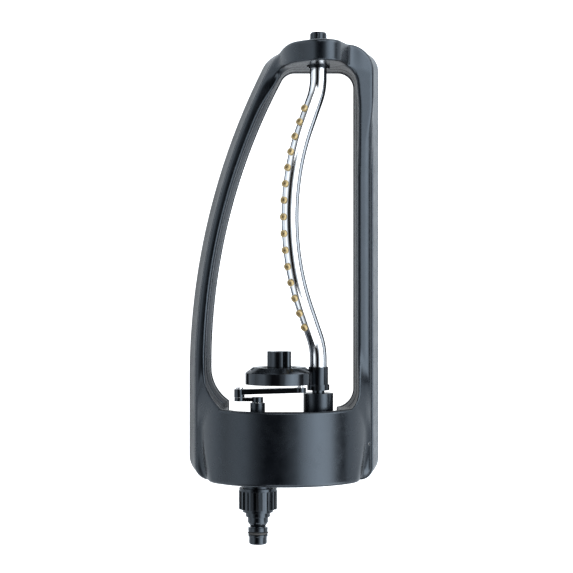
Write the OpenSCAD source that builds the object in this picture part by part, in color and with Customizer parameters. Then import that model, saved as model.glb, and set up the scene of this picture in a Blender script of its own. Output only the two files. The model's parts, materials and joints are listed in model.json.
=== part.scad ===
// Oscillating lawn sprinkler: a bowed spray tube rocked from side to side by a water motor,
// carried in a curved frame. X is to the right, Y runs away from the hose inlet, Z is up.
// The origin is on the ground, under the middle of the frame.

/* [Frame] */
// Width of the frame at the ground
frame_w = 173; // [171:1:175]
// From the origin to the inlet end wall
inlet_end = 172.5; // [172:0.5:173]
// From the origin to the outside of the arch
arch_end = 215.5; // [215:0.5:216]
// Radius of the curved left side
side_r = 630; // [620:5:640]
// Height of the parting line between the two frame shells
split_z = 24; // [23:0.5:25]
// Height of the rails
rail_z = 29; // [28.5:0.5:30]
// How far the lower shell leans in at the parting line
skirt_lean = 6.5; // [6:0.5:7]
// Radius of the hood over the water motor
hood_r = 78; // [77.5:0.5:79]
// Y of the front edge of the hood
hood_front = -106.6; // [-107:0.1:-106]
// Shell thickness
wall = 2.5; // [2.4:0.1:2.6]

/* [Spray tube] */
// X of the tube's swing axis
tube_x = 30.5; // [30:0.5:31]
// Height of the tube's swing axis, and of the inlet
axis_z = 42; // [41.5:0.5:42]
// Outside diameter of the tube
tube_d = 15; // [14.6:0.1:15]
// Tube wall
tube_t = 1.2; // [1:0.1:1.3]
// Radius of the long middle bend
bow_r = 180; // [175:1:182]
// Radius of the two end bends
end_bend_r = 45; // [44:1:46]
// Angle of each bend
bend_a = 26; // [25:0.5:26.5]
// Straight length between two bends
bend_gap = 29; // [28:1:30]
// Y of the middle of the bow
bow_y = 61.7; // [61:0.1:62]
// Number of spray nozzles
nozzle_count = 15; // [11:2:15]
// Distance between nozzles along the tube
nozzle_pitch = 13.9; // [13.5:0.1:14]
// Lean of the bow to the left at rest
rest_lean = 45; // [45:1:45]

/* [Drive] */
// X of the inlet and of the crank
motor_x = -23; // [-23:0.5:-22.5]
// Crank radius, which is also the distance between the two gear axes
crank_r = 16; // [16:1:16]
// Radius of the range housing
dial_r = 29.9; // [29:0.1:30]
// Gear module
gear_m = 0.8; // [0.8:0.1:0.8]
// Teeth on each pinion
pinion_teeth = 10; // [10:1:10]
// Teeth on each wheel
wheel_teeth = 30; // [30:1:30]

/* [Hose fitting] */
// Outside diameter of the union nut over its ribs
nut_d = 34; // [33.5:0.5:35]
// Diameter of the straight land at the nipple's tip
nipple_d = 16; // [15.8:0.1:16]
// Number of ribs on the nut
nut_ribs = 20; // [16:2:24]

/* [Hidden] */
$fn = 64;

crank_z = axis_z + crank_r;
dial_x = tube_x - 34.65;
dial_z = axis_z + 6;
hood_z = 4.3;                    // height of the hood's centre line
arch_in = arch_end - 20;         // Y of the arch's inner wall
bay_y = -113.2;                  // Y of the frame wall in front of the water motor
ledge = 2.2;                     // step in the opening's wall, above its lip
lip_z = 5;
top_inset = 8.6;                 // the rails' top edge, in from the outline
top_grow = 3.2;                  // the opening's edge in the upper shell
case_r = 75;                     // the motor housing follows the hood
case_z = 9;                      // underside of the motor housing
case_rear = -168;
case_front = -120.5;
gasket_t = 1;
cover_t = 3.5;
cover_front = case_front + gasket_t + cover_t;
spigot_r = 13.15;
spigot_end = -186.5;
running = 0.05;                  // radial clearance of a shaft in its hole
shaft_r = 1.5;
screw_r = 1.5;
head_r = 2.9;
neck_r = 5.5;
boss_front = -93.2;
collar_front = -69.8;
tube_end = arch_end - wall - 0.5;  // just inside the arch's outer wall
pin_r = 2.5;
bow_half = end_bend_r * sin(bend_a) + bend_gap * cos(bend_a) + bow_r * sin(bend_a);
bow_h = (end_bend_r + bow_r) * (1 - cos(bend_a)) + bend_gap * sin(bend_a);

black = "#23272c";
gloss = "#17191c";
steel = "#b9bdc2";
rubber = "#101010";
tan_plastic = "#a8946b";
white_plastic = "#d8d8d4";

// ---- outlines -------------------------------------------------------------------------------

function arc(c, r, a0, a1, n) =
    [for (i = [0:n]) c + r * [cos(a0 + (a1 - a0) * i / n), sin(a0 + (a1 - a0) * i / n)]];

// A closed outline with a curved left side: x0 is the left edge, which bends right above bend_y
// on an arc of radius r. c lists the corner radii: upper right, upper left, lower left, lower right.
function bowed(x0, x1, y0, y1, r, bend_y, c, d) =
    let (s = [x0 + r, bend_y],
         rise = y1 - c[1] - bend_y,
         ul = [s.x - sqrt((r - c[1]) * (r - c[1]) - rise * rise), y1 - c[1]],
         meet = atan2(ul.y - s.y, ul.x - s.x))
    concat(
        arc([x1 - c[0], y1 - c[0]], c[0] - d, 0, 90, 9),
        arc(ul, c[1] - d, 90, meet, 6),
        arc(s, r - d, meet, 180, 24),
        arc([x0 + c[2], y0 + c[2]], c[2] - d, 180, 270, 9),
        arc([x1 - c[3], y0 + c[3]], c[3] - d, 270, 360, 9));

// The frame's outline, moved in by d at its sides and by ends at its two upright ends. The two
// corners at the arch get rounder as the sides move in.
module plan(d = 0, ends = 0) {
    polygon(bowed(-frame_w / 2, frame_w / 2, ends - inlet_end - d, arch_end + d - ends, side_r, -82,
        [18 + 1.8 * d, 14 + 0.8 * d, 20, 18], d));
}

// The large opening round the tube, moved out by d, with the bay for the linkage at its foot.
module opening(d = 0, bay = bay_y) {
    polygon(bowed(-66, 63.1, -108.4, arch_in, 554, -70, [14, 12, 36, 17], -d));
    translate([-50, bay]) square([98, -90 - bay]);
}

module ring(d, grow, ends = 0) {
    difference() {
        plan(d, ends);
        opening(grow);
    }
}

// A 2D shape drawn in X and Z, extruded from y0 to y1.
module along_y(y0, y1) {
    translate([0, y1, 0]) rotate([90, 0, 0]) linear_extrude(y1 - y0) children();
}

// A round bar along Y.
module y_bar(r, y0, y1, x, z) {
    translate([x, y1, z]) rotate([90, 0, 0]) cylinder(r = r, h = y1 - y0);
}

// A cone along Y, with radius r0 at y0 and r1 at y1.
module y_cone(r0, r1, y0, y1, x, z) {
    translate([x, y1, z]) rotate([90, 0, 0]) cylinder(r1 = r1, r2 = r0, h = y1 - y0);
}

// A flat bar with round ends, from y0 to y1, between two points in X and Z.
module y_strap(r, y0, y1, a, b) {
    along = b - a;
    y_bar(r, y0, y1, a.x, a.y);
    y_bar(r, y0, y1, b.x, b.y);
    along_y(y0, y1)
        translate(a) rotate(atan2(along.y, along.x)) translate([0, -r]) square([norm(along), 2 * r]);
}

module y_ring(major, minor, y, x, z) {
    translate([x, y, z]) rotate([90, 0, 0]) rotate_extrude() translate([major, 0]) circle(r = minor);
}

// ---- frame ----------------------------------------------------------------------------------

function left_mid(y) =
    (-frame_w / 2 + side_r - sqrt(pow(side_r - skirt_lean, 2) - pow(max(0, y + 82), 2))
        - 66 + 554 - sqrt(pow(554 + ledge, 2) - pow(y + 70, 2))) / 2;

right_mid = (frame_w / 2 - skirt_lean + 63.1 + ledge) / 2;
shell_screw_at = concat(
    [for (y = [-30, 60, 150]) [left_mid(y), y]],
    [for (y = [-60, 40, 140]) [right_mid, y]],
    [for (x = [8, 62]) [x, (arch_in + ledge + arch_end) / 2]],
    [for (side = [-1, 1]) [side * 75.2, -140]]);

// The lower shell before it is hollowed, with its long sides leaning in.
module lower_blank() {
    hull() {
        linear_extrude(0.01) plan();
        translate([0, 0, split_z - 0.01]) linear_extrude(0.01) plan(skirt_lean);
    }
}

module lower_frame() {
    color(black)
    difference() {
        union() {
            difference() {
                lower_blank();
                difference() {
                    translate([0, 0, wall]) linear_extrude(split_z) plan(skirt_lean + wall, wall);
                    linear_extrude(split_z + 1) opening(ledge + wall, bay_y - wall);
                }
            }
            for (p = shell_screw_at) translate(p) cylinder(r = 4.6, h = split_z);
        }
        translate([0, 0, -1]) linear_extrude(split_z + 2) opening(0);
        translate([0, 0, lip_z]) linear_extrude(split_z) opening(ledge);
        for (p = shell_screw_at) {
            translate([p.x, p.y, -1]) cylinder(r = 1.8, h = split_z + 2);
            translate([p.x, p.y, -1]) cylinder(r = 3.2, h = 4);
        }
        for (p = foot_at) {
            translate([p.x, p.y, -1]) cylinder(r = 1.8, h = 5);
            translate([p.x, p.y, -1]) cylinder(r = 3.2, h = 2.6);
        }
    }
}

// The arch seen along the tube, moved in by d: a long left flank, a round crown over the tube,
// a steep right flank and the shoulder over the right rail.
module arch_profile(d = 0) {
    flank = [59, 25];
    crown_r = 17.5;
    crown = flank + (64 - crown_r) * [cos(123), sin(123)];
    shoulder = [59.5, 27.5];
    polygon(concat(
        arc(flank, 64 - d, 181, 123, 14),
        arc(crown, crown_r - d, 123, 20, 12),
        [[57.5 - d, 49 - d]],
        arc(shoulder, 19.5 - d, 92, -10, 10)));
}

// The right rail climbs to the arch's shoulder.
module rail_climb(drop = 0) {
    translate([50, 0, -drop]) rotate([90, 0, 90])
        linear_extrude(50) polygon([[100, 20], [100, rail_z], [arch_in + 1, 46], [arch_in + 1, 20]]);
}

module hood_profile(d = 0, foot = split_z) {
    intersection() {
        translate([0, hood_z]) circle(r = hood_r - d, $fn = 128);
        translate([-hood_r, foot]) square([2 * hood_r, hood_r + hood_z]);
    }
}

// The hood in plan, moved in by d: its sides draw in towards the inlet, which leaves a ledge.
module hood_plan(d = 0) {
    half = [for (p = [[68.2, -inlet_end - 10], [68.2, -inlet_end], [81, -118], [81, -90]])
        [p.x - d, p.y]];
    polygon(concat(half, [for (i = [3:-1:0]) [-half[i].x, half[i].y]]));
}

// The hood from y0 to y1, moved in by d, above a height.
module hood(y0, y1, d, foot) {
    intersection() {
        along_y(y0, y1) hood_profile(d, foot);
        linear_extrude(2 * hood_r) hood_plan(d);
    }
}

// Each rail rises to the hood on a ramp, moved down by drop.
module hood_ramp(drop = 0) {
    intersection() {
        along_y(hood_front - 3, -70) hood_profile(drop);
        translate([-hood_r, 0, -drop]) rotate([90, 0, 90]) linear_extrude(2 * hood_r)
            polygon([[hood_front - 3, 20], [hood_front - 3, 60], [-76, rail_z], [-76, 20]]);
    }
}

module upper_shell() {
    color(black)
    difference() {
        union() {
            difference() {
                union() {
                    translate([0, 0, split_z]) linear_extrude(3) ring(skirt_lean, top_grow);
                    translate([0, 0, split_z]) linear_extrude(rail_z - split_z) ring(top_inset, top_grow);
                    hood(-inlet_end, hood_front, 0, split_z);
                    intersection() {
                        along_y(arch_in, arch_end) arch_profile();
                        translate([0, 0, split_z]) linear_extrude(80) plan(skirt_lean);
                    }
                    intersection() {
                        union() {
                            rail_climb();
                            hood_ramp();
                        }
                        translate([0, 0, split_z]) linear_extrude(80) ring(top_inset, top_grow);
                    }
                }
                translate([0, 0, split_z - 1])
                    linear_extrude(rail_z - split_z + 1 - wall)
                        ring(top_inset + wall, top_grow + wall, wall);
                hood(-inlet_end + wall, hood_front - wall, wall, -1);
                along_y(hood_front - 10, hood_front + 10)
                    intersection() {
                        hood_profile(5, -1);
                        translate([-50, 0]) square([98, 100]);
                    }
                intersection() {
                    along_y(arch_in + wall, arch_end - wall) arch_profile(wall);
                    translate([0, 0, -1]) linear_extrude(100) plan(skirt_lean + wall, wall);
                }
                intersection() {
                    union() {
                        rail_climb(wall);
                        hood_ramp(wall);
                    }
                    translate([0, 0, split_z - 1]) linear_extrude(80) ring(top_inset + wall, top_grow + wall);
                }
            }
            for (p = shell_screw_at) translate([p.x, p.y, split_z]) cylinder(r = 3.6, h = 4);
        }
        for (p = shell_screw_at) translate([p.x, p.y, split_z - 1]) cylinder(r = screw_r, h = 4);
        y_bar(14, -inlet_end - 1, -inlet_end + wall + 1, motor_x, axis_z);
        y_bar(10, arch_in - 1, arch_in + wall + 1, tube_x, axis_z);
        y_bar(6.35, arch_end - 12, arch_end + 1, tube_x, axis_z);
    }
}

module screw_up(p, z0, length) {
    translate([p.x, p.y, z0]) difference() {
        union() {
            cylinder(r = head_r, h = 1.5);
            cylinder(r = screw_r, h = length);
        }
        translate([-2, -0.4, -1]) cube([4, 0.8, 1.8]);
        translate([-0.4, -2, -1]) cube([0.8, 4, 1.8]);
    }
}

module shell_screws() {
    color(steel) for (p = shell_screw_at) screw_up(p, 1.5, 25);
}

// ---- water motor ----------------------------------------------------------------------------

foot_at = [for (x = [-36, 38], y = [-158, -131]) [x, y]];
cover_screw_at = [[-40, 16], [42, 16], [-40, 50], [42, 50], [8, 73.2]];

module case_profile(d = 0) {
    intersection() {
        translate([0, hood_z]) circle(r = case_r - d, $fn = 128);
        translate([-46 + d, case_z + d]) square([94 - 2 * d, 80]);
    }
}

module motor_housing() {
    color(black)
    difference() {
        union() {
            difference() {
                along_y(case_rear, case_front) case_profile();
                along_y(case_rear + wall, case_front + 1) case_profile(2.2);
            }
            intersection() {
                union() for (p = cover_screw_at) y_bar(4.2, case_rear, case_front, p.x, p.y);
                along_y(case_rear, case_front) case_profile();
            }
            y_bar(spigot_r, spigot_end, case_rear + 1, motor_x, axis_z);
            for (p = foot_at) translate([p.x, p.y, wall]) cylinder(r = 4.5, h = case_z);
        }
        y_bar(9.5, spigot_end - 1, case_rear + wall + 1, motor_x, axis_z);
        y_bar(shaft_r, case_rear + 0.6, case_rear + wall + 1, motor_x, crank_z);
        for (p = cover_screw_at) y_bar(screw_r, case_front - 9, case_front + 1, p.x, p.y);
        for (p = foot_at) translate([p.x, p.y, 0]) cylinder(r = screw_r, h = case_z - 0.5);
    }
}

module housing_gasket() {
    color(rubber)
    difference() {
        union() {
            along_y(case_front, case_front + gasket_t) difference() {
                case_profile(0.3);
                case_profile(2.2);
            }
            intersection() {
                union() for (p = cover_screw_at) y_bar(4.2, case_front, case_front + gasket_t, p.x, p.y);
                along_y(case_front, case_front + gasket_t) case_profile(0.3);
            }
        }
        for (p = cover_screw_at) y_bar(screw_r, case_front - 1, case_front + gasket_t + 1, p.x, p.y);
    }
}

module housing_cover() {
    back = case_front + gasket_t;
    color(black)
    difference() {
        union() {
            along_y(back, cover_front) case_profile();
            y_bar(13.25, cover_front - 1, boss_front, tube_x, axis_z);
            y_bar(6.5, cover_front - 1, -100.7, motor_x, crank_z);
            y_bar(6, -130, cover_front - 1, motor_x, crank_z);
            y_bar(3.2, -131, cover_front - 1, motor_x, axis_z);
        }
        y_bar(neck_r + running, back - 1, boss_front + 1, tube_x, axis_z);
        y_bar(3 + running, -131, -99, motor_x, crank_z);
        y_bar(5.1, -105.1, -102.9, motor_x, crank_z);
        y_bar(shaft_r, -132, -126, motor_x, axis_z);
        for (p = cover_screw_at) {
            y_bar(screw_r + 0.2, back - 1, cover_front + 1, p.x, p.y);
            y_bar(head_r + 0.3, cover_front - 1.2, cover_front + 1, p.x, p.y);
        }
    }
}

module screw_back(p, y1, length) {
    difference() {
        union() {
            y_bar(head_r, y1 - 1.5, y1, p.x, p.y);
            y_bar(screw_r, y1 - length, y1, p.x, p.y);
        }
        translate([p.x - 2, y1 - 0.8, p.y - 0.4]) cube([4, 2, 0.8]);
        translate([p.x - 0.4, y1 - 0.8, p.y - 2]) cube([0.8, 2, 4]);
    }
}

module cover_screws() {
    color(steel) for (p = cover_screw_at) screw_back(p, cover_front + 0.3, 12);
}

module motor_screws() {
    color(steel) for (p = foot_at) screw_up(p, 0.1, 8);
}

module jet_plate() {
    rear = case_rear + wall;
    color(white_plastic)
    difference() {
        y_bar(13, rear, rear + 2.5, motor_x, axis_z);
        y_bar(shaft_r, rear - 1, rear + 4, motor_x, axis_z);
        for (a = [0:90:270])
            y_bar(1.4, rear - 1, rear + 4, motor_x + 6.5 * cos(a), axis_z + 6.5 * sin(a));
    }
}

module inlet_filter() {
    color(white_plastic)
    difference() {
        y_bar(9.5, spigot_end, spigot_end + 2, motor_x, axis_z);
        y_bar(0.8, spigot_end - 1, spigot_end + 3, motor_x, axis_z);
        for (k = [1:3], i = [0:6 * k - 1])
            y_bar(0.8, spigot_end - 1, spigot_end + 3,
                motor_x + 2.5 * k * cos(60 * i / k), axis_z + 2.5 * k * sin(60 * i / k));
    }
}

module turbine_shaft() {
    color(steel) y_bar(shaft_r, case_rear + wall, -126, motor_x, axis_z);
}

module idler_shaft() {
    color(steel) y_bar(shaft_r, case_rear + 0.6, -139.2, motor_x, crank_z);
}

module crank_seal() {
    color(rubber) y_ring(4.07, 0.98, -104, motor_x, crank_z);
}

// ---- gears ----------------------------------------------------------------------------------

function involute_of(pitch_r, r) =
    let (base = pitch_r * cos(20), a = r <= base ? 0 : acos(base / r))
    tan(a) * 180 / PI - a;

// Half the angle that a tooth fills at radius r, with a little backlash.
function half_tooth(teeth, pitch_r, r) =
    90 / teeth - 0.13 / pitch_r * 180 / PI + involute_of(pitch_r, pitch_r) - involute_of(pitch_r, r);

module gear(teeth, y0, y1, z, phase) {
    pitch_r = gear_m * teeth / 2;
    tip = pitch_r + 0.8 * gear_m;
    root = pitch_r - 1.25 * gear_m;
    base = max(root + 0.1, pitch_r * cos(20));
    radii = [root, base, (base + pitch_r) / 2, pitch_r, (pitch_r + tip) / 2, tip];
    outline = [for (t = [0:teeth - 1]) each concat(
        [for (i = [0:5]) radii[i] * [cos(phase + 360 * t / teeth - half_tooth(teeth, pitch_r, radii[i])),
                                     sin(phase + 360 * t / teeth - half_tooth(teeth, pitch_r, radii[i]))]],
        [for (i = [5:-1:0]) radii[i] * [cos(phase + 360 * t / teeth + half_tooth(teeth, pitch_r, radii[i])),
                                        sin(phase + 360 * t / teeth + half_tooth(teeth, pitch_r, radii[i]))]])];
    along_y(y0, y1) translate([motor_x, z]) polygon(outline);
}

wheel_gap = 180 / wheel_teeth;   // turns a wheel so that a gap faces the other axis

module turbine_wheel() {
    color(white_plastic)
    difference() {
        union() {
            y_bar(12.5, -154.2, -153, motor_x, axis_z);
            y_bar(3.4, -162, -153, motor_x, axis_z);
            for (a = [0:36:324])
                translate([motor_x, -162, axis_z]) rotate([0, a, 0]) translate([2.5, 0, -0.5])
                    cube([10, 8.5, 1]);
            gear(pinion_teeth, -153, -146, axis_z, 90);
        }
        y_bar(shaft_r + running, -163, -145, motor_x, axis_z);
    }
}

module compound_gear_a() {
    color(white_plastic)
    difference() {
        union() {
            gear(wheel_teeth, -151.5, -147.5, crank_z, -90 + wheel_gap);
            gear(pinion_teeth, -147.5, -139, crank_z, -90);
        }
        y_bar(shaft_r + running, -152, -138, motor_x, crank_z);
    }
}

module compound_gear_b() {
    color(white_plastic)
    difference() {
        union() {
            gear(wheel_teeth, -145.5, -141.5, axis_z, 90 + wheel_gap);
            gear(pinion_teeth, -141.5, -133, axis_z, 90);
        }
        y_bar(shaft_r + running, -146, -132, motor_x, axis_z);
    }
}

module output_gear() {
    color(white_plastic)
    difference() {
        union() {
            gear(wheel_teeth, -138, -134, crank_z, -90 + wheel_gap);
            y_bar(5.5, -138, -132, motor_x, crank_z);
        }
        y_bar(3, -139, -131, motor_x, crank_z);
    }
}

// ---- crank and link -------------------------------------------------------------------------

crank_end = [motor_x - crank_r, crank_z];
link_end = [tube_x - crank_r, crank_z];

module crank_shaft() {
    color(steel) y_bar(3, -138, -96, motor_x, crank_z);
}

module crank_arm() {
    color(gloss)
    difference() {
        union() {
            y_bar(4.9, -100.3, -95.6, motor_x, crank_z);
            y_strap(3.6, -99.2, -96.1, [motor_x, crank_z], crank_end);
            y_bar(4.4, -99.2, -96.1, crank_end.x, crank_end.y);
        }
        y_bar(3, -101, -96, motor_x, crank_z);
        y_bar(2, -100, -95, crank_end.x, crank_end.y);
    }
}

module crank_pin() {
    color(steel) {
        y_bar(2, -99.2, -87.3, crank_end.x, crank_end.y);
        y_bar(3.3, -88.3, -87.3, crank_end.x, crank_end.y);
    }
}

// The link leans a little towards the rocker at its far end.
module link_bar() {
    color(gloss)
    difference() {
        union() {
            intersection() {
                y_strap(4.2, -96, -86, crank_end, link_end);
                linear_extrude(crank_z + 20) polygon([
                    [crank_end.x - 6, -93.2], [crank_end.x - 6, -88.7],
                    [crank_end.x + 6, -88.7], [link_end.x + 6, -87.4],
                    [link_end.x + 6, -91.7], [crank_end.x + 6, -93.2]]);
            }
            y_bar(4.6, -95.8, -88.7, crank_end.x, crank_end.y);
            y_bar(5, -91.7, -87.4, link_end.x, link_end.y);
        }
        y_bar(2 + running, -97, -86, crank_end.x, crank_end.y);
        y_bar(pin_r, -94, -86, link_end.x, link_end.y);
    }
}

module drive_pin() {
    color(steel) y_bar(pin_r, -91.7, -79.2, link_end.x, link_end.y);
}

// ---- rocker and range dial ------------------------------------------------------------------

// The slot lies on the 45 degree line through the swing axis, where the drive pin slides.
slot_from = [tube_x, axis_z] + crank_r * sqrt(2) * [-cos(45), sin(45)];
slot_to = [tube_x, axis_z] + crank_r * 2 * [-cos(45), sin(45)];
cover_screw_r = 25.2;
cap_screw_at = [for (a = [160, 215, 275]) [dial_x + cover_screw_r * cos(a), dial_z + cover_screw_r * sin(a)]];

module rocker() {
    color(gloss)
    difference() {
        union() {
            difference() {
                y_bar(dial_r, -84.9, -75.2, dial_x, dial_z);
                y_bar(dial_r - 2.5, -82.9, -74, dial_x, dial_z);
            }
            intersection() {
                union() for (p = cap_screw_at) y_bar(3, -84, -75.2, p.x, p.y);
                y_bar(dial_r, -84.9, -75.2, dial_x, dial_z);
            }
            y_bar(4, -84, -72.5, dial_x, dial_z);
            y_bar(8.7, -85.5, collar_front, tube_x, axis_z);
            y_bar(9.9, -90.5, -85.5, tube_x, axis_z);
            y_bar(neck_r, -112, -90, tube_x, axis_z);
        }
        y_bar(tube_d / 2, -82, collar_front + 1, tube_x, axis_z);
        y_bar(5.8, -83.4, -81, tube_x, axis_z);
        y_bar(3.4, -113, -80, tube_x, axis_z);
        for (y = [-98, -105]) difference() {
            y_bar(neck_r + 1, y - 0.8, y + 0.8, tube_x, axis_z);
            y_bar(4.2, y - 1, y + 1, tube_x, axis_z);
        }
        y_strap(pin_r + 0.4, -86, -80, slot_from, slot_to);
        for (p = cap_screw_at) y_bar(1, -82, -74, p.x, p.y);
        y_bar(screw_r, -82, -70, dial_x, dial_z);
    }
}

module rocker_cover() {
    color(gloss)
    difference() {
        union() {
            y_bar(dial_r, -75.2, -74.8, dial_x, dial_z);
            y_cone(dial_r, dial_r - 6.5, -74.8, -69.9, dial_x, dial_z);
        }
        y_bar(18, -76, -72.2, dial_x, dial_z);
        y_bar(16, -76, -69, dial_x, dial_z);
        y_bar(8.7, -76, -69, tube_x, axis_z);
        for (p = cap_screw_at) {
            y_bar(1.2, -76, -69, p.x, p.y);
            y_bar(2.1, -73.4, -69, p.x, p.y);
        }
    }
}

module rocker_cover_screws() {
    color(steel) for (p = cap_screw_at) {
        y_bar(1.9, -73.4, -72.2, p.x, p.y);
        y_bar(1, -80.5, -73.4, p.x, p.y);
    }
}

module range_dial() {
    color(gloss)
    difference() {
        union() {
            y_bar(17.6, -75.4, -72.6, dial_x, dial_z);
            y_bar(15.6, -75.4, -70.4, dial_x, dial_z);
        }
        y_bar(4 + running, -76, -72.1, dial_x, dial_z);
        y_bar(screw_r + 0.2, -76, -69, dial_x, dial_z);
        for (a = [0:90:270]) translate([dial_x, 0, dial_z]) rotate([0, a + 30, 0])
            difference() {
                along_y(-71.6, -69) intersection() {
                    difference() {
                        circle(r = 14.2);
                        circle(r = 11.4);
                    }
                    square(20);
                }
                translate([-1, -72, 8]) cube([3, 4, 8]);
                translate([8, -72, -1]) cube([8, 4, 3]);
            }
    }
}

// The knob is a cross of a broad grip and two side wings with round ends.
module range_knob() {
    knob_r = 10.9;
    wing_r = 3.8;
    color(gloss)
    difference() {
        translate([dial_x, 0, dial_z]) rotate([0, -16, 0]) along_y(-70.4, -55.9) {
            intersection() {
                square([11.6, 2 * knob_r], center = true);
                circle(r = knob_r);
            }
            square([2 * (knob_r - wing_r), 2 * wing_r], center = true);
            for (side = [-1, 1]) translate([side * (knob_r - wing_r), 0]) circle(r = wing_r);
        }
        y_bar(screw_r + 0.2, -71, -55, dial_x, dial_z);
        y_bar(head_r + 0.1, -58.4, -55, dial_x, dial_z);
    }
}

module knob_screw() {
    color(steel) screw_back([dial_x, dial_z], -56.9, 24);
}

module neck_o_rings() {
    color(rubber) for (y = [-98, -105]) y_ring(4.85, 0.65, y, tube_x, axis_z);
}

module tube_washer() {
    color(rubber) difference() {
        y_bar(5.8, -83.4, -82, tube_x, axis_z);
        y_bar(3.4, -84, -81, tube_x, axis_z);
    }
}

// ---- spray tube -----------------------------------------------------------------------------

// Places the tube's own plane, with X along the swing axis and Y towards the bow, in the frame.
module tube_frame() {
    translate([tube_x, bow_y, axis_z]) rotate([0, -rest_lean, 0]) rotate([90, 0, 90]) children();
}

// Stations along the tube, as [x, y, heading]: straight ends, end bends and the long bow.
tube_path = concat(
    [[-82 - bow_y, 0, 0]],
    [for (i = [0:5]) let (h = bend_a * i / 5)
        [-bow_half + end_bend_r * sin(h), end_bend_r * (1 - cos(h)), h]],
    [for (i = [0:20]) let (h = bend_a - 2 * bend_a * i / 20)
        [-bow_r * sin(h), bow_h - bow_r * (1 - cos(h)), h]],
    [for (i = [0:5]) let (h = bend_a * (i / 5 - 1))
        [bow_half + end_bend_r * sin(h), end_bend_r * (1 - cos(h)), h]],
    [[tube_end - bow_y, 0, 0]]);

// A hollow tube along the stations: an outer and an inner skin, joined by a ring at each end.
module tube_sweep(sides = 28) {
    rings = len(tube_path);
    bore = (tube_d / 2 - tube_t) / cos(180 / sides);
    points = [for (r = [tube_d / 2, bore], p = tube_path, j = [0:sides - 1])
        let (a = 360 * j / sides)
        [p.x - r * cos(a) * sin(p.z), p.y + r * cos(a) * cos(p.z), r * sin(a)]];
    inner = rings * sides;
    last = (rings - 1) * sides;
    faces = [for (i = [0:rings - 2], j = [0:sides - 1])
        let (k = (j + 1) % sides, a = i * sides + j, b = i * sides + k, c = a + sides, d = b + sides)
        each [[a, c, d, b], [inner + a, inner + b, inner + d, inner + c]]];
    ends = [for (j = [0:sides - 1]) let (k = (j + 1) % sides)
        each [[j, k, inner + k, inner + j], [last + j, inner + last + j, inner + last + k, last + k]]];
    polyhedron(points, concat(faces, ends), convexity = 6);
}

// The point of the bow at a distance s along it from its middle, and the angle of its normal there.
function bow_at(s) =
    let (reach = bow_r * bend_a * PI / 180,
         side = sign(s),
         a = min(abs(s), reach) / bow_r * 180 / PI * side,
         extra = max(0, abs(s) - reach))
    [bow_r * sin(a) + side * extra * cos(a), bow_h - bow_r * (1 - cos(a)) - extra * abs(sin(a)), a];

nozzle_at = [for (i = [0:nozzle_count - 1]) bow_at((i - (nozzle_count - 1) / 2) * nozzle_pitch)];

module at_nozzles() {
    for (p = nozzle_at) translate([p.x, p.y, 0]) rotate([0, 0, -p.z]) rotate([-90, 0, 0]) children();
}

module spray_tube() {
    color(steel)
    tube_frame() difference() {
        tube_sweep();
        at_nozzles() cylinder(r = 2.1, h = tube_d);
    }
}

module nozzles() {
    color(tan_plastic)
    tube_frame() at_nozzles() difference() {
        union() {
            translate([0, 0, tube_d / 2 - tube_t - 0.4]) cylinder(r = 2.1, h = 2.4);
            translate([0, 0, tube_d / 2]) cylinder(r = 3.1, h = 2.2);
        }
        cylinder(r = 0.7, h = tube_d);
        translate([0, 0, tube_d / 2 + 1.5]) cylinder(r = 1.6, h = 2);
    }
}

module end_plug() {
    bore_r = tube_d / 2 - tube_t;
    color(gloss)
    difference() {
        union() {
            y_bar(bore_r, 199, 216.2, tube_x, axis_z);
            y_bar(7.45, 216, 224.8, tube_x, axis_z);
            y_cone(7.45, 6.4, 224.8, 226.4, tube_x, axis_z);
        }
        for (a = [0:30:330])
            y_bar(0.9, 217.5, 228, tube_x + 7.9 * cos(a), axis_z + 7.9 * sin(a));
        difference() {
            y_bar(bore_r + 1, 200.2, 201.8, tube_x, axis_z);
            y_bar(bore_r - 1.2, 200, 202, tube_x, axis_z);
        }
        translate([tube_x - 5, 224.6, axis_z - 0.8]) cube([10, 3, 1.6]);
    }
}

module plug_o_ring() {
    color(rubber) y_ring(tube_d / 2 - tube_t - 0.6, 0.6, 201, tube_x, axis_z);
}

module end_bush() {
    color(gloss)
    difference() {
        union() {
            y_bar(8.7, 194.3, arch_in + 1, tube_x, axis_z);
            y_bar(10, arch_in, 204, tube_x, axis_z);
            translate([tube_x + 6, 194.3, axis_z - 1.4]) cube([4.2, arch_in + 1 - 194.3, 2.8]);
        }
        y_bar(tube_d / 2 + running, 194, 205, tube_x, axis_z);
    }
}

// ---- hose fitting ---------------------------------------------------------------------------

module union_nut() {
    rib_r = nut_d / 2;
    color(gloss)
    difference() {
        union() {
            y_bar(rib_r - 0.3, -179.6, -177, motor_x, axis_z);
            y_bar(rib_r - 1.3, -195.8, -178, motor_x, axis_z);
            y_bar(13.5, -198.5, -195, motor_x, axis_z);
            for (i = [0:nut_ribs - 1])
                translate([motor_x, -195.8, axis_z]) rotate([0, 360 / nut_ribs * i, 0])
                    translate([rib_r - 2.5, 0, -1.1]) cube([2.5, 16.5, 2.2]);
        }
        y_bar(spigot_r + 0.07, -191.9, -176, motor_x, axis_z);
        y_bar(10.9 + running, -199, -191, motor_x, axis_z);
    }
}

module nut_washer() {
    color(rubber) difference() {
        y_bar(12.4, spigot_end - 2.5, spigot_end, motor_x, axis_z);
        y_bar(6, spigot_end - 3, spigot_end + 1, motor_x, axis_z);
    }
}

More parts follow.
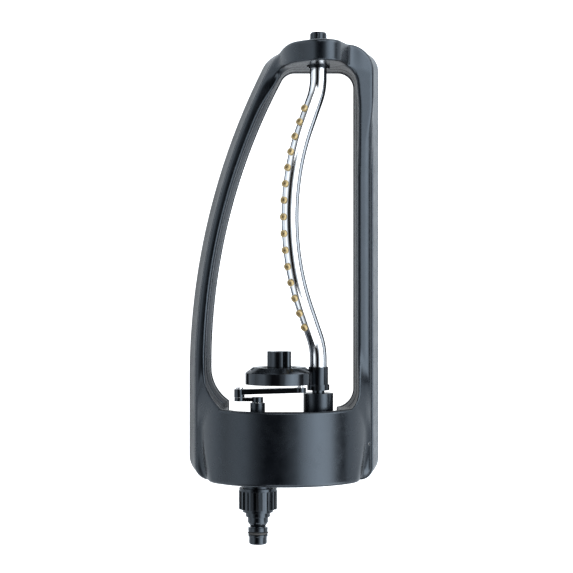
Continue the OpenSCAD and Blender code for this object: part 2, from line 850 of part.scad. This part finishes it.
module hose_nipple() {
    land = nipple_d / 2;
    color(gloss)
    difference() {
        union() {
            y_bar(12.4, -191.5, spigot_end - 2.5, motor_x, axis_z);
            y_bar(10.9, -202.6, -191, motor_x, axis_z);
            y_bar(9.1, -207.3, -202, motor_x, axis_z);
            y_cone(6.8, 9.1, -210.9, -207.3, motor_x, axis_z);
            y_bar(6.8, -213, -210, motor_x, axis_z);
            y_bar(8.75, -215.6, -212, motor_x, axis_z);
            y_bar(7, -219, -215, motor_x, axis_z);
            y_bar(8.75, -220, -218.3, motor_x, axis_z);
            y_bar(land, -226, -219, motor_x, axis_z);
            y_cone(land - 1, land, -227, -226, motor_x, axis_z);
        }
        y_bar(5, -228, -188, motor_x, axis_z);
    }
}

module nipple_o_ring() {
    color(rubber) y_ring(8.05, 1.05, -216.95, motor_x, axis_z);
}

lower_frame();
upper_shell();
motor_housing();
housing_cover();
housing_gasket();
jet_plate();
inlet_filter();
turbine_shaft();
idler_shaft();
crank_seal();
end_bush();
shell_screws();
motor_screws();
cover_screws();
hose_nipple();
nipple_o_ring();
nut_washer();
union_nut();
spray_tube();
nozzles();
rocker();
rocker_cover();
rocker_cover_screws();
neck_o_rings();
tube_washer();
end_plug();
plug_o_ring();
range_dial();
range_knob();
knob_screw();
link_bar();
drive_pin();
crank_arm();
crank_pin();
crank_shaft();
output_gear();
compound_gear_a();
compound_gear_b();
turbine_wheel();
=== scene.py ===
"""The looks of the oscillating lawn sprinkler: moulded shells, spray tube, materials, light and camera.

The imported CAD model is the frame. The two frame shells and the spray tube are rebuilt here as smooth
skins. The other CAD nodes keep their shape, ten of them with softened edges. All get procedural materials.
Shapes are worked out in millimetres, in the CAD frame: X right, Y away from the hose, Z up.
"""

import json
import math

import bpy
import numpy as np
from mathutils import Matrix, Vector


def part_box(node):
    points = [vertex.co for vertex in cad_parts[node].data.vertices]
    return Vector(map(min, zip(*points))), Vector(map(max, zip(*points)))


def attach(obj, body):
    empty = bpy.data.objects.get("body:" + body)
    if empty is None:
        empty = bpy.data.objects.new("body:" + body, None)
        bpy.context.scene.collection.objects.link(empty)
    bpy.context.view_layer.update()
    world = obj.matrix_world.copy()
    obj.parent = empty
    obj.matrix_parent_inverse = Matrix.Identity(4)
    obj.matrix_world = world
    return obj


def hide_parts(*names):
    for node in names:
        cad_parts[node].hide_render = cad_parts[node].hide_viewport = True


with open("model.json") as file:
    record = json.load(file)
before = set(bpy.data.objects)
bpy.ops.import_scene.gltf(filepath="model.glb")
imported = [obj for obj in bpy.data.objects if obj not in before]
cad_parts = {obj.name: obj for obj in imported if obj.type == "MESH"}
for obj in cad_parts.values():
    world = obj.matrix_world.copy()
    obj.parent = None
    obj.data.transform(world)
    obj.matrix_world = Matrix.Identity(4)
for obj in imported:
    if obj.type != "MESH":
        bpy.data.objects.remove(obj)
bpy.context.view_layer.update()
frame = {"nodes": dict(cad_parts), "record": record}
nodes = frame["nodes"]
MM = 0.001

# ---- driving sizes of the frame, in millimetres ------------------------------------------------

HALF_WIDTH = 86.5
SIDE_R = 630.0          # the curved left side, above BEND_Y
BEND_Y = -82.0
REAR = -172.5
ARCH_OUT = 215.5
ARCH_IN = 195.5
SPLIT_Z = 24.0
RAIL_Z = 29.0
SKIRT_LEAN = 6.5
WALL = 2.5
HOOD_R = 78.0
HOOD_Z = 4.3
HOOD_FRONT = -106.6
HOOD_HALF = 68.2        # half the hood's width at the inlet end
HOOD_SPREAD = 0.2349    # how fast its sides spread away from the inlet
FLANK_SCALE = 0.973     # turns the sideways distance to those sides into a true distance
LIP_Z = 5.0
LEAN_Z = 16.0           # the opening's wall leans back above this height
WALL_LEAN = 2.2         # how far it leans back on the right
LEFT_LEAN = 2.4         # and how much further on the left
LEAN_FADE = 40.0        # length over which the lean changes
WALL_GAP = 0.8          # between the wall and the opening's edge
CLIMB = 17.0            # rise of the right rail towards the arch
TUBE_X = 30.5
MOTOR_X = -23.0
AXIS_Z = 42.0
GRID = 1.0


# ---- solid fields ------------------------------------------------------------------------------

def round_max(a, b, r):
    """Intersection of two fields, with the edge between them rounded to about radius r."""
    k = r / 0.85
    h = np.maximum(k - np.abs(a - b), 0.0) / k
    return np.maximum(a, b) + h * h * k / 4


def round_min(a, b, r):
    """Union of two fields, with a fillet of about radius r where they meet."""
    return -round_max(-a, -b, r)


def corner(a, b, r):
    """Intersection of two distances, with an exact corner of radius r."""
    a = a + r
    b = b + r
    return np.hypot(np.maximum(a, 0), np.maximum(b, 0)) + np.minimum(np.maximum(a, b), 0) - r


def bowed(x, y, left, right, bottom, top, bow_r, bend_y, corners):
    """Distance to an outline whose left side bends right above bend_y on an arc of radius bow_r."""
    side = np.where(y > bend_y, np.hypot(x - left - bow_r, y - bend_y) - bow_r, left - x)
    up_right, up_left, low_left, low_right = corners
    upper = np.maximum(corner(x - right, y - top, up_right), corner(side, y - top, up_left))
    lower = np.maximum(corner(side, bottom - y, low_left), corner(x - right, bottom - y, low_right))
    return np.maximum(upper, lower)


def plan(x, y, inset):
    """Distance to the frame's outline moved in by inset at its sides, with its two ends left upright."""
    rear, far = REAR - inset, ARCH_OUT + inset
    corners = (18 + 1.8 * inset, 14 + 0.8 * inset, 20, 18)
    return inset + bowed(x, y, -HALF_WIDTH, HALF_WIDTH, rear, far, SIDE_R, BEND_Y, corners)


def opening(x, y):
    """Distance to the large opening round the tube, with the bay for the linkage at its foot."""
    left, right, foot, bow_r, bend_y = -66, 63.1, -108.4, 554, -70
    main = bowed(x, y, left, right, foot, ARCH_IN, bow_r, bend_y, (14, 6.4, 36, 17))
    bay_back, bay_front = -113.2, -90
    bay = np.maximum(bay_width(x), np.maximum(bay_back - y, y - bay_front))
    return np.minimum(main, bay)


def bay_width(x):
    """Distance to the band in which the crank, the link and the tube's socket lie."""
    return np.maximum(-50 - x, x - 48)


def ease(t):
    """A smooth step from 0 to 1."""
    t = np.clip(t, 0, 1)
    return t * t * (3 - 2 * t)


def inner_wall(x, y, z):
    """The opening's wall above the lip. It is upright, then leans back, more so on the left."""
    left = ease(0.5 - x / LEAN_FADE)
    lean = (WALL_LEAN + LEFT_LEAN * left) * ease((ARCH_IN - y) / LEAN_FADE)
    return WALL_GAP + lean * np.clip(z - LEAN_Z, 0, 15) / (RAIL_Z - LEAN_Z) - opening(x, y)


def hood(x, y, z):
    """The barrel over the water motor. It draws in towards the inlet, and runs out onto the rails."""
    barrel = np.hypot(x, z - HOOD_Z) - HOOD_R + 0.05
    flank = (np.abs(x) - HOOD_HALF - HOOD_SPREAD * (y - REAR)) * FLANK_SCALE
    shoulder_r, front_r = 5, 3
    body = round_max(barrel, flank, shoulder_r)
    top = HOOD_Z + np.sqrt(np.maximum(HOOD_R ** 2 - x * x, 0))
    upright_x, tilt_over = 38, 26
    tilt = math.radians(60) * ease((np.abs(x) - upright_x) / tilt_over)
    front = (y - HOOD_FRONT) * np.cos(tilt) + (z - top) * np.sin(tilt)
    return round_max(body, front, front_r)


def arch(x, y, z):
    """The bridge over the tube's far end: a long left flank, a crown, a notch and a shoulder."""
    turn = math.radians(123)
    fall = math.radians(20)
    flank_x, flank_z, flank_r = 59, 25, 64
    crown_r = 17.5
    shoulder_x, shoulder_z, shoulder_r = 59.5, 27.5, 19.5
    crown_x = flank_x + (flank_r - crown_r) * math.cos(turn)
    crown_z = flank_z + (flank_r - crown_r) * math.sin(turn)
    flank = np.hypot(x - flank_x, z - flank_z) - flank_r
    crown = np.hypot(x - crown_x, z - crown_z) - crown_r
    right = (x - crown_x) * math.cos(fall) + (z - crown_z) * math.sin(fall) - crown_r
    left_of_crown = (x - flank_x) * -math.sin(turn) + (z - flank_z) * math.cos(turn) > 0
    over_crown = (x - crown_x) * -math.sin(fall) + (z - crown_z) * math.cos(fall) > 0
    body = np.where(left_of_crown, flank, np.where(over_crown, crown, right))
    shoulder = np.hypot(x - shoulder_x, np.maximum(z - shoulder_z, 0)) - shoulder_r
    notch_r, inner_edge_r = 5, 2.5
    profile = round_min(body, shoulder, notch_r)
    return round_max(profile, ARCH_IN - y, inner_edge_r)


ISLAND_GAP = 8.0        # points nearer than this in the plane belong to one screw


def islands(node):
    """Centres in the plane, in millimetres, of the separate solids in a CAD node."""
    mesh = nodes[node].data
    points = np.array([v.co for v in mesh.vertices]) / MM
    centres = []
    for p in points[:, :2]:
        if not any(np.hypot(*(p - c[0])) < ISLAND_GAP for c in centres):
            centres.append([p, []])
        for c in centres:
            if np.hypot(*(p - c[0])) < ISLAND_GAP:
                c[1].append(p)
                break
    return [(np.min(c[1], axis=0) + np.max(c[1], axis=0)) / 2 for c in centres]


BOSS_R = 3.6
THREAD_R = 1.5
SHANK_R = 1.8
HEAD_R = 3.2
INLET_R = 14.0
BUSH_R = 10.0
PLUG_R = 6.35
SHELL_SCREWS = islands("shell_screws")
MOTOR_SCREWS = islands("motor_screws")


def near(spots, x, y):
    """Distance in the plane to the nearest of some points."""
    return np.minimum.reduce([np.hypot(x - p[0], y - p[1]) for p in spots])


def upper_outside(x, y, z):
    """The upper shell's outer surface: rails, bridge and hood, cut to the frame's outline."""
    side = plan(x, y, SKIRT_LEAN)
    climb = CLIMB * ease((y - 95) / 102) * ease((x - 42) / 12)
    crown = (z - RAIL_Z - 1.5 - climb + 0.25 * (side + 14)) * 0.97
    fillet = 6 + 8 * ease((10 - x) / 20)
    top = round_min(crown, arch(x, y, z), fillet)
    whole = round_min(top, hood(x, y, z), 4 + 11 * ease((y + 130) / 30))
    whole = round_max(whole, np.minimum(inner_wall(x, y, z), y - HOOD_FRONT), 2.3)
    edge = 3.5 + 3.5 * ease(x / 40 + 0.5)
    return round_max(whole, side, 3 + (edge - 3) * ease((40 - z) / 8))


def bar(x, z, at_x, r):
    """Distance to a round bar along Y, at the height of the tube and the inlet."""
    return np.hypot(x - at_x, z - AXIS_Z) - r


def upper_field(x, y, z):
    """The upper shell: a skin of even thickness with screw bosses, the hood's front window and holes."""
    outside = upper_outside(x, y, z)
    shell = np.maximum(outside, -(outside + WALL))
    screws = near(SHELL_SCREWS, x, y)
    shell = np.minimum(shell, np.maximum(np.maximum(screws - BOSS_R, z - 27.5), outside + 0.4))
    shell = np.maximum(shell, -np.maximum(screws - THREAD_R, z - 26.8))
    barrel = np.hypot(x, z - HOOD_Z) - HOOD_R
    window = np.maximum(bay_width(x), np.abs(y - HOOD_FRONT) - 8)
    shell = round_max(shell, -np.maximum(window, barrel + 5), 0.8)
    inlet = np.maximum(bar(x, z, MOTOR_X, INLET_R), y - REAR - 12.5)
    bush = np.maximum(bar(x, z, TUBE_X, BUSH_R), np.abs(y - ARCH_IN) - 6)
    plug = np.maximum(bar(x, z, TUBE_X, PLUG_R), ARCH_OUT - 7.5 - y)
    holes = np.minimum(np.minimum(inlet, bush), plug)
    shell = round_max(shell, -holes, 0.6)
    return round_max(shell, SPLIT_Z + 0.1 - z, 0.6)


def lower_field(x, y, z):
    """The lower shell: a tray with leaning skirts, a lip round the opening and screw holes."""
    lean = SKIRT_LEAN / SPLIT_Z
    skirt = plan(x, y, lean * z) * math.cos(math.atan(lean))
    inner = inner_wall(x, y, z)
    tray = round_max(skirt, inner, 1.0)
    lip = np.maximum(np.maximum(skirt, -opening(x, y)), z - LIP_Z)
    tray = np.minimum(tray, lip)
    tray = round_max(tray, 0.05 - z, 1.0)
    cavity = np.maximum(np.maximum(skirt + WALL, inner + WALL), WALL - z)
    tray = np.maximum(tray, -cavity)
    screws = near(SHELL_SCREWS, x, y)
    feet = near(MOTOR_SCREWS, x, y)
    tray = np.minimum(tray, np.maximum(screws - BOSS_R - 1, 0.05 - z))
    tray = np.maximum(tray, -np.minimum(screws - SHANK_R, np.maximum(screws - HEAD_R, z - 3)))
    tray = np.maximum(tray, -np.minimum(feet - SHANK_R, np.maximum(feet - HEAD_R, z - 1.6)))
    return round_max(tray, z - SPLIT_Z + 0.1, 0.6)


# ---- skin over a field -------------------------------------------------------------------------

GRID_START = 1.63       # steps before the box, so that no grid plane lies in a flat face
PROBE = 0.05            # millimetres, for the slope of a field


def skin(name, field, low, high, step):
    """A closed mesh where the field is zero. Its vertices are moved towards the exact surface."""
    axes = [np.arange(a - GRID_START * step, b + 2 * step, step) for a, b in zip(low, high)]
    x, y, z = np.meshgrid(*axes, indexing="ij", sparse=True)
    values = field(x, y, z)
    inside = values < 0
    cell_shape = tuple(n - 1 for n in values.shape)
    corners = [(i, j, k) for i in (0, 1) for j in (0, 1) for k in (0, 1)]

    def shifted(array, c):
        return array[tuple(slice(s, s + n) for s, n in zip(c, cell_shape))]

    count = sum(shifted(inside, c).astype(np.int8) for c in corners)
    cells = np.argwhere((count > 0) & (count < 8))
    index = np.full(cell_shape, -1, np.int64)
    index[tuple(cells.T)] = np.arange(len(cells))
    total = np.zeros((len(cells), 3))
    hits = np.zeros(len(cells))
    for axis in range(3):
        for c in (c for c in corners if c[axis] == 0):
            unit = np.eye(3, dtype=int)[axis]
            a = values[tuple((cells + c).T)]
            b = values[tuple((cells + c + unit).T)]
            crosses = (a < 0) != (b < 0)
            share = np.where(crosses, a / np.where(crosses, a - b, 1), 0)
            total += np.where(crosses[:, None], np.array(c) + share[:, None] * unit, 0)
            hits += crosses
    points = np.array([a[0] for a in axes]) + step * (cells + total / hits[:, None])

    quads = []
    for axis in range(3):
        unit = np.eye(3, dtype=int)[axis]
        u, v = np.eye(3, dtype=int)[(axis + 1) % 3], np.eye(3, dtype=int)[(axis + 2) % 3]
        start = inside[tuple(slice(1, n - unit[i]) for i, n in enumerate(inside.shape))]
        end = inside[tuple(slice(1 + unit[i], None) for i in range(3))]
        edges = np.argwhere(start != end) + 1
        around = [index[tuple((edges - offset).T)] for offset in (u * 0, u, u + v, v)]
        quad = np.stack(around, axis=1)
        solid_first = start[tuple((edges - 1).T)]
        quad[~solid_first] = quad[~solid_first, ::-1]
        quads.append(quad)
    quads = np.concatenate(quads)

    for _ in range(2):
        height = field(*points.T)
        slope = np.stack([(field(*(points + e).T) - height) / PROBE for e in PROBE * np.eye(3)], axis=1)
        steep = np.maximum((slope ** 2).sum(axis=1), 0.25)
        move = -(height / steep)[:, None] * slope
        length = np.linalg.norm(move, axis=1, keepdims=True)
        points += move * np.minimum(1, 0.4 * step / np.maximum(length, 1e-9))

    mesh = bpy.data.meshes.new(name)
    mesh.from_pydata((points * MM).tolist(), [], quads.tolist())
    mesh.polygons.foreach_set("use_smooth", [True] * len(mesh.polygons))
    mesh.update()
    made = bpy.data.objects.new(name, mesh)
    bpy.context.scene.collection.objects.link(made)
    return made


# ---- materials ---------------------------------------------------------------------------------

class Material:
    """A node material whose colour, roughness and bump vary over the surface."""

    def __init__(self, name, colour, rough, **fixed):
        self.made = bpy.data.materials.new(name)
        self.made.use_nodes = True
        self.tree = self.made.node_tree
        self.shader = self.tree.nodes["Principled BSDF"]
        self.shader.inputs["Base Color"].default_value = (*colour, 1)
        self.shader.inputs["Roughness"].default_value = rough
        for socket, value in fixed.items():
            self.shader.inputs[socket.replace("_", " ")].default_value = value
        self.place = self.node("ShaderNodeTexCoord").outputs["Object"]

    def node(self, kind, **settings):
        """A new shader node with some of its settings."""
        made = self.tree.nodes.new(kind)
        for key, value in settings.items():
            setattr(made, key, value)
        return made

    def link(self, a, b):
        """Joins an output to an input."""
        self.tree.links.new(a, b)

    def noise(self, scale, detail=3.0, rough=0.55):
        """Noise over the surface, where scale is in waves per metre."""
        made = self.node("ShaderNodeTexNoise")
        made.inputs["Scale"].default_value = scale
        made.inputs["Detail"].default_value = detail
        made.inputs["Roughness"].default_value = rough
        self.link(self.place, made.inputs["Vector"])
        return made.outputs["Fac"]

    def spread(self, source, low, high, start=0.3, end=0.7):
        """The source's values from start to end, mapped to numbers from low to high."""
        made = self.node("ShaderNodeMapRange")
        for socket, value in (("From Min", start), ("From Max", end), ("To Min", low), ("To Max", high)):
            made.inputs[socket].default_value = value
        self.link(source, made.inputs["Value"])
        return made.outputs["Result"]

    def mix(self, share, first, second):
        """A colour between two, by share."""
        made = self.node("ShaderNodeMix", data_type="RGBA")
        self.link(share, made.inputs["Factor"])
        for socket, value in ((made.inputs[6], first), (made.inputs[7], second)):
            if isinstance(value, tuple):
                socket.default_value = (*value, 1)
            else:
                self.link(value, socket)
        return made.outputs[2]

    def rough(self, source):
        """Takes the roughness from a source."""
        self.link(source, self.shader.inputs["Roughness"])
        return self

    def colour(self, source):
        """Takes the colour from a source."""
        self.link(source, self.shader.inputs["Base Color"])
        return self

    def bump(self, source, depth, strength):
        """Small relief, with its depth in metres."""
        made = self.node("ShaderNodeBump")
        made.inputs["Distance"].default_value = depth
        made.inputs["Strength"].default_value = strength
        self.link(source, made.inputs["Height"])
        self.link(made.outputs["Normal"], self.shader.inputs["Normal"])
        return self


def edge_wear(material, base, worn, low=0.52, high=0.62):
    """A colour that turns from base to worn along sharp edges."""
    geometry = material.node("ShaderNodeNewGeometry")
    share = material.spread(geometry.outputs["Pointiness"], 0, 1, low, high)
    return material.mix(share, base, worn)


def moulded(name, dark, light, rough, grain=2600, depth=0.00004, **fixed):
    """Injection-moulded plastic: a fine etched grain, slight clouding and lighter edges."""
    made = Material(name, dark, rough, **fixed)
    cloud = made.mix(made.spread(made.noise(38), 0, 1), dark, light)
    made.colour(edge_wear(made, cloud, tuple(c * 2.0 + 0.006 for c in light)))
    made.rough(made.spread(made.noise(90, 4), rough - 0.05, rough + 0.05))
    made.bump(made.noise(grain, 2), depth, 0.35)
    return made.made


COOL = (0.72, 0.85, 1.0, 1.0)
satin = moulded("satin_plastic", (0.001, 0.0013, 0.002), (0.0014, 0.0018, 0.0027), 0.25,
                Specular_Tint=COOL)
gloss = moulded("gloss_plastic", (0.0008, 0.0009, 0.0012), (0.0012, 0.0014, 0.0018), 0.13, 1500, 0.00002,
                Specular_Tint=COOL)
amber = moulded("nozzle_plastic", (0.19, 0.135, 0.05), (0.25, 0.185, 0.08), 0.38, 2200)
acetal = moulded("gear_plastic", (0.62, 0.62, 0.58), (0.72, 0.72, 0.68), 0.45, 1800)
rubber = moulded("rubber", (0.012, 0.012, 0.012), (0.02, 0.02, 0.02), 0.62, 3200, 0.00006)


def polished(name, colour, rough, brush, edge):
    """Drawn metal: faint brushing along its length, small stains, and an edge tint that darkens it where
    it turns away. A low tint is painted shade along the outline.
    """
    made = Material(name, colour, rough, Metallic=1.0, Specular_Tint=(edge, edge, edge * 1.1, 1))
    stretch = made.node("ShaderNodeMapping")
    stretch.inputs["Scale"].default_value = brush
    made.link(made.place, stretch.inputs["Vector"])
    made.place = stretch.outputs["Vector"]
    lines = made.noise(900, 3)
    made.rough(made.spread(lines, rough - 0.03, rough + 0.05))
    made.colour(made.mix(made.spread(made.noise(60), 0, 1), colour, tuple(c * 0.9 for c in colour)))
    made.bump(lines, 0.00001, 0.15)
    return made.made


# The tube's edge tint of 0.12 paints dark shade along its outline, where it turns away from view.
tube_metal = polished("tube_metal", (0.66, 0.68, 0.71), 0.12, (1, 0.04, 1), 0.12)
steel = polished("steel", (0.56, 0.56, 0.57), 0.26, (1, 1, 1), 0.9)

FINISH = {
    "frame_plastic": satin,
    "gloss_plastic": gloss,
    "nozzle_plastic": amber,
    "gear_plastic": acetal,
    "rubber": rubber,
    "tube_metal": tube_metal,
    "steel": steel,
}


def paint(made, material):
    """Gives a piece one material."""
    made.data.materials.clear()
    made.data.materials.append(material)


# ---- CAD nodes that keep their shape -----------------------------------------------------------

def soften(made, width):
    """Rounds the sharp edges of a CAD node with modifiers, and shades it smooth."""
    weld = made.modifiers.new("weld", "WELD")
    weld.merge_threshold = 0.00001
    bevel = made.modifiers.new("bevel", "BEVEL")
    bevel.width = width * MM
    bevel.segments = 2
    bevel.limit_method = "ANGLE"
    bevel.angle_limit = math.radians(35)
    bevel.use_clamp_overlap = True
    normals = made.modifiers.new("normals", "WEIGHTED_NORMAL")
    normals.keep_sharp = True


EDGE = {"nozzles": 0.25, "rocker": 0.4, "range_knob": 0.5, "union_nut": 0.35, "hose_nipple": 0.35,
        "link_bar": 0.4, "crank_arm": 0.4, "end_plug": 0.3, "housing_cover": 0.4, "rocker_cover": 0.4}
for entry in frame["record"]["subparts"]:
    part = nodes[entry["node"]]
    paint(part, FINISH[entry["material_slot"]])
    if entry["node"] in EDGE:
        soften(part, EDGE[entry["node"]])

# ---- the frame shells --------------------------------------------------------------------------

upper = skin("upper_shell_skin", upper_field, (-82, -174, 23), (82, 217, 84), GRID)
lower = skin("lower_frame_skin", lower_field, (-87, -173, 0), (87, 216, 25), GRID)
for made, node in ((upper, "upper_shell"), (lower, "lower_frame")):
    paint(made, satin)
    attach(made, "frame")
    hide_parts(node)

# ---- the spray tube ----------------------------------------------------------------------------

TUBE_R = 7.5
TUBE_WALL = 1.2
BOW_R = 180.0
END_BEND_R = 45.0
BEND = math.radians(26)
BEND_GAP = 29.0
BOW_Y = 61.7
END_STEPS = 12
BOW_STEPS = 60
REST_LEAN = math.radians(45)
BOW_HALF = END_BEND_R * math.sin(BEND) + BEND_GAP * math.cos(BEND) + BOW_R * math.sin(BEND)
BOW_HIGH = (END_BEND_R + BOW_R) * (1 - math.cos(BEND)) + BEND_GAP * math.sin(BEND)


def tube_stations():
    """Points along the tube's centreline, as (along the swing axis, out from it, heading)."""
    tube_low, tube_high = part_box("spray_tube")
    stations = [(tube_low.y / MM - BOW_Y, 0.0, 0.0)]
    for i in range(END_STEPS + 1):
        h = BEND * i / END_STEPS
        stations.append((-BOW_HALF + END_BEND_R * math.sin(h), END_BEND_R * (1 - math.cos(h)), h))
    for i in range(BOW_STEPS + 1):
        h = BEND - 2 * BEND * i / BOW_STEPS
        stations.append((-BOW_R * math.sin(h), BOW_HIGH - BOW_R * (1 - math.cos(h)), h))
    for i in range(END_STEPS + 1):
        h = BEND * (i / END_STEPS - 1)
        stations.append((BOW_HALF + END_BEND_R * math.sin(h), END_BEND_R * (1 - math.cos(h)), h))
    stations.append((tube_high.y / MM - BOW_Y, 0.0, 0.0))
    return stations


def swept_tube(name, sides=48):
    """The hollow tube, as an outer and an inner skin joined at both ends."""
    stations = tube_stations()
    points = []
    for radius in (TUBE_R, TUBE_R - TUBE_WALL):
        for along, out, heading in stations:
            for j in range(sides):
                a = math.tau * j / sides
                y = BOW_Y + along - radius * math.cos(a) * math.sin(heading)
                up = out + radius * math.cos(a) * math.cos(heading)
                across = radius * math.sin(a)
                points.append((
                    TUBE_X - up * math.sin(REST_LEAN) + across * math.cos(REST_LEAN),
                    y,
                    AXIS_Z + up * math.cos(REST_LEAN) + across * math.sin(REST_LEAN),
                ))
    rings = len(stations)
    inner = rings * sides
    faces = []
    for j in range(sides):
        k = (j + 1) % sides
        for i in range(rings - 1):
            a, b, c, d = i * sides + j, i * sides + k, (i + 1) * sides + k, (i + 1) * sides + j
            faces.append((a, d, c, b))
            faces.append((inner + a, inner + b, inner + c, inner + d))
        last = (rings - 1) * sides
        faces.append((j, k, inner + k, inner + j))
        faces.append((last + j, inner + last + j, inner + last + k, last + k))
    mesh = bpy.data.meshes.new(name)
    mesh.from_pydata([tuple(v * MM for v in p) for p in points], [], faces)
    mesh.polygons.foreach_set("use_smooth", [True] * len(mesh.polygons))
    mesh.set_sharp_from_angle(angle=math.radians(50))
    mesh.update()
    made = bpy.data.objects.new(name, mesh)
    bpy.context.scene.collection.objects.link(made)
    return made


tube = swept_tube("spray_tube_skin")
paint(tube, tube_metal)
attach(tube, "spray_arm")
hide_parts("spray_tube")

# ---- camera, floor and light -------------------------------------------------------------------

scene = bpy.context.scene
camera = bpy.data.objects.new("camera", bpy.data.cameras.new("camera"))
scene.collection.objects.link(camera)
EYE = (0.0023, 0.0013, 1.436)    # metres, looking straight down over the middle of the object
FOCAL_LENGTH = 98.75
camera.location = EYE
camera.data.lens = FOCAL_LENGTH
camera.data.sensor_width = 36
camera.data.clip_end = 20
scene.camera = camera

floor_mesh = bpy.data.meshes.new("floor")
SPREAD = 6.0
FLOOR_Z = -0.0006
around = ((-SPREAD, -SPREAD), (SPREAD, -SPREAD), (SPREAD, SPREAD), (-SPREAD, SPREAD))
floor_mesh.from_pydata([(x, y, FLOOR_Z) for x, y in around], [], [(0, 1, 2, 3)])
floor = bpy.data.objects.new("floor", floor_mesh)
scene.collection.objects.link(floor)
pale = Material("pale_floor", (0.40, 0.44, 0.48), 0.9, Emission_Color=(1, 1, 1, 1))
# The floor glows more to the camera than in reflections: it shows white, and the object stays dark.
GLOW_IN_REFLECTIONS = 0.3
GLOW_TO_CAMERA = 1.3
seen = pale.node("ShaderNodeLightPath").outputs["Is Camera Ray"]
strength = pale.spread(seen, GLOW_IN_REFLECTIONS, GLOW_TO_CAMERA, 0, 1)
pale.link(strength, pale.shader.inputs["Emission Strength"])
paint(floor, pale.made)

world = bpy.data.worlds.new("studio")
world.use_nodes = True
tree = world.node_tree
direction = tree.nodes.new("ShaderNodeTexCoord")
split = tree.nodes.new("ShaderNodeSeparateXYZ")
across = tree.nodes.new("ShaderNodeMapRange")
across.inputs["From Min"].default_value = -1
glow = tree.nodes.new("ShaderNodeValToRGB")
# Radiance of the two long light banks, by the sine of the angle from the zenith towards X.
BANKS = ((-1.0, 1.0), (-0.96, 1.5), (-0.9, 1.8), (-0.78, 1.8), (-0.66, 0.7), (-0.43, 0.0),
         (0.0, 0.0), (0.1, 0.55), (0.3, 1.0), (0.4, 3.2), (0.72, 6.2), (0.9, 5.2), (0.96, 0.5), (1.0, 0.0))
BANK_TINT = (0.93, 0.97, 1.0)
PEAK = 10
ramp = glow.color_ramp.elements
while len(ramp) < len(BANKS):
    ramp.new(0.5)
for stop, (sine, radiance) in zip(ramp, BANKS):
    stop.position = (sine + 1) / 2
    stop.color = (*(tint * radiance / PEAK for tint in BANK_TINT), 1)
tree.links.new(direction.outputs["Generated"], split.inputs["Vector"])
tree.links.new(split.outputs["X"], across.inputs["Value"])
tree.links.new(across.outputs["Result"], glow.inputs["Fac"])
tree.links.new(glow.outputs["Color"], tree.nodes["Background"].inputs["Color"])
tree.nodes["Background"].inputs["Strength"].default_value = PEAK
scene.world = world
scene.view_settings.view_transform = "Standard"


SOFTBOX_TILT = 48
SOFTBOX_AWAY = 1.9
SOFTBOX_WIDE = 1.2
SOFTBOX_LONG = 1.1
SOFTBOX_POWER = 12


def softbox(name, tilt):
    """An area light aimed at the frame, tilted in degrees from straight up towards Y."""
    light = bpy.data.lights.new(name, "AREA")
    light.shape = "RECTANGLE"
    light.size = SOFTBOX_WIDE
    light.size_y = SOFTBOX_LONG
    light.energy = SOFTBOX_POWER
    made = bpy.data.objects.new(name, light)
    scene.collection.objects.link(made)
    a = math.radians(tilt)
    made.location = (0, SOFTBOX_AWAY * math.sin(a), SOFTBOX_AWAY * math.cos(a))
    made.rotation_euler = (-a, 0, 0)


softbox("far_softbox", SOFTBOX_TILT)
softbox("near_softbox", -SOFTBOX_TILT)
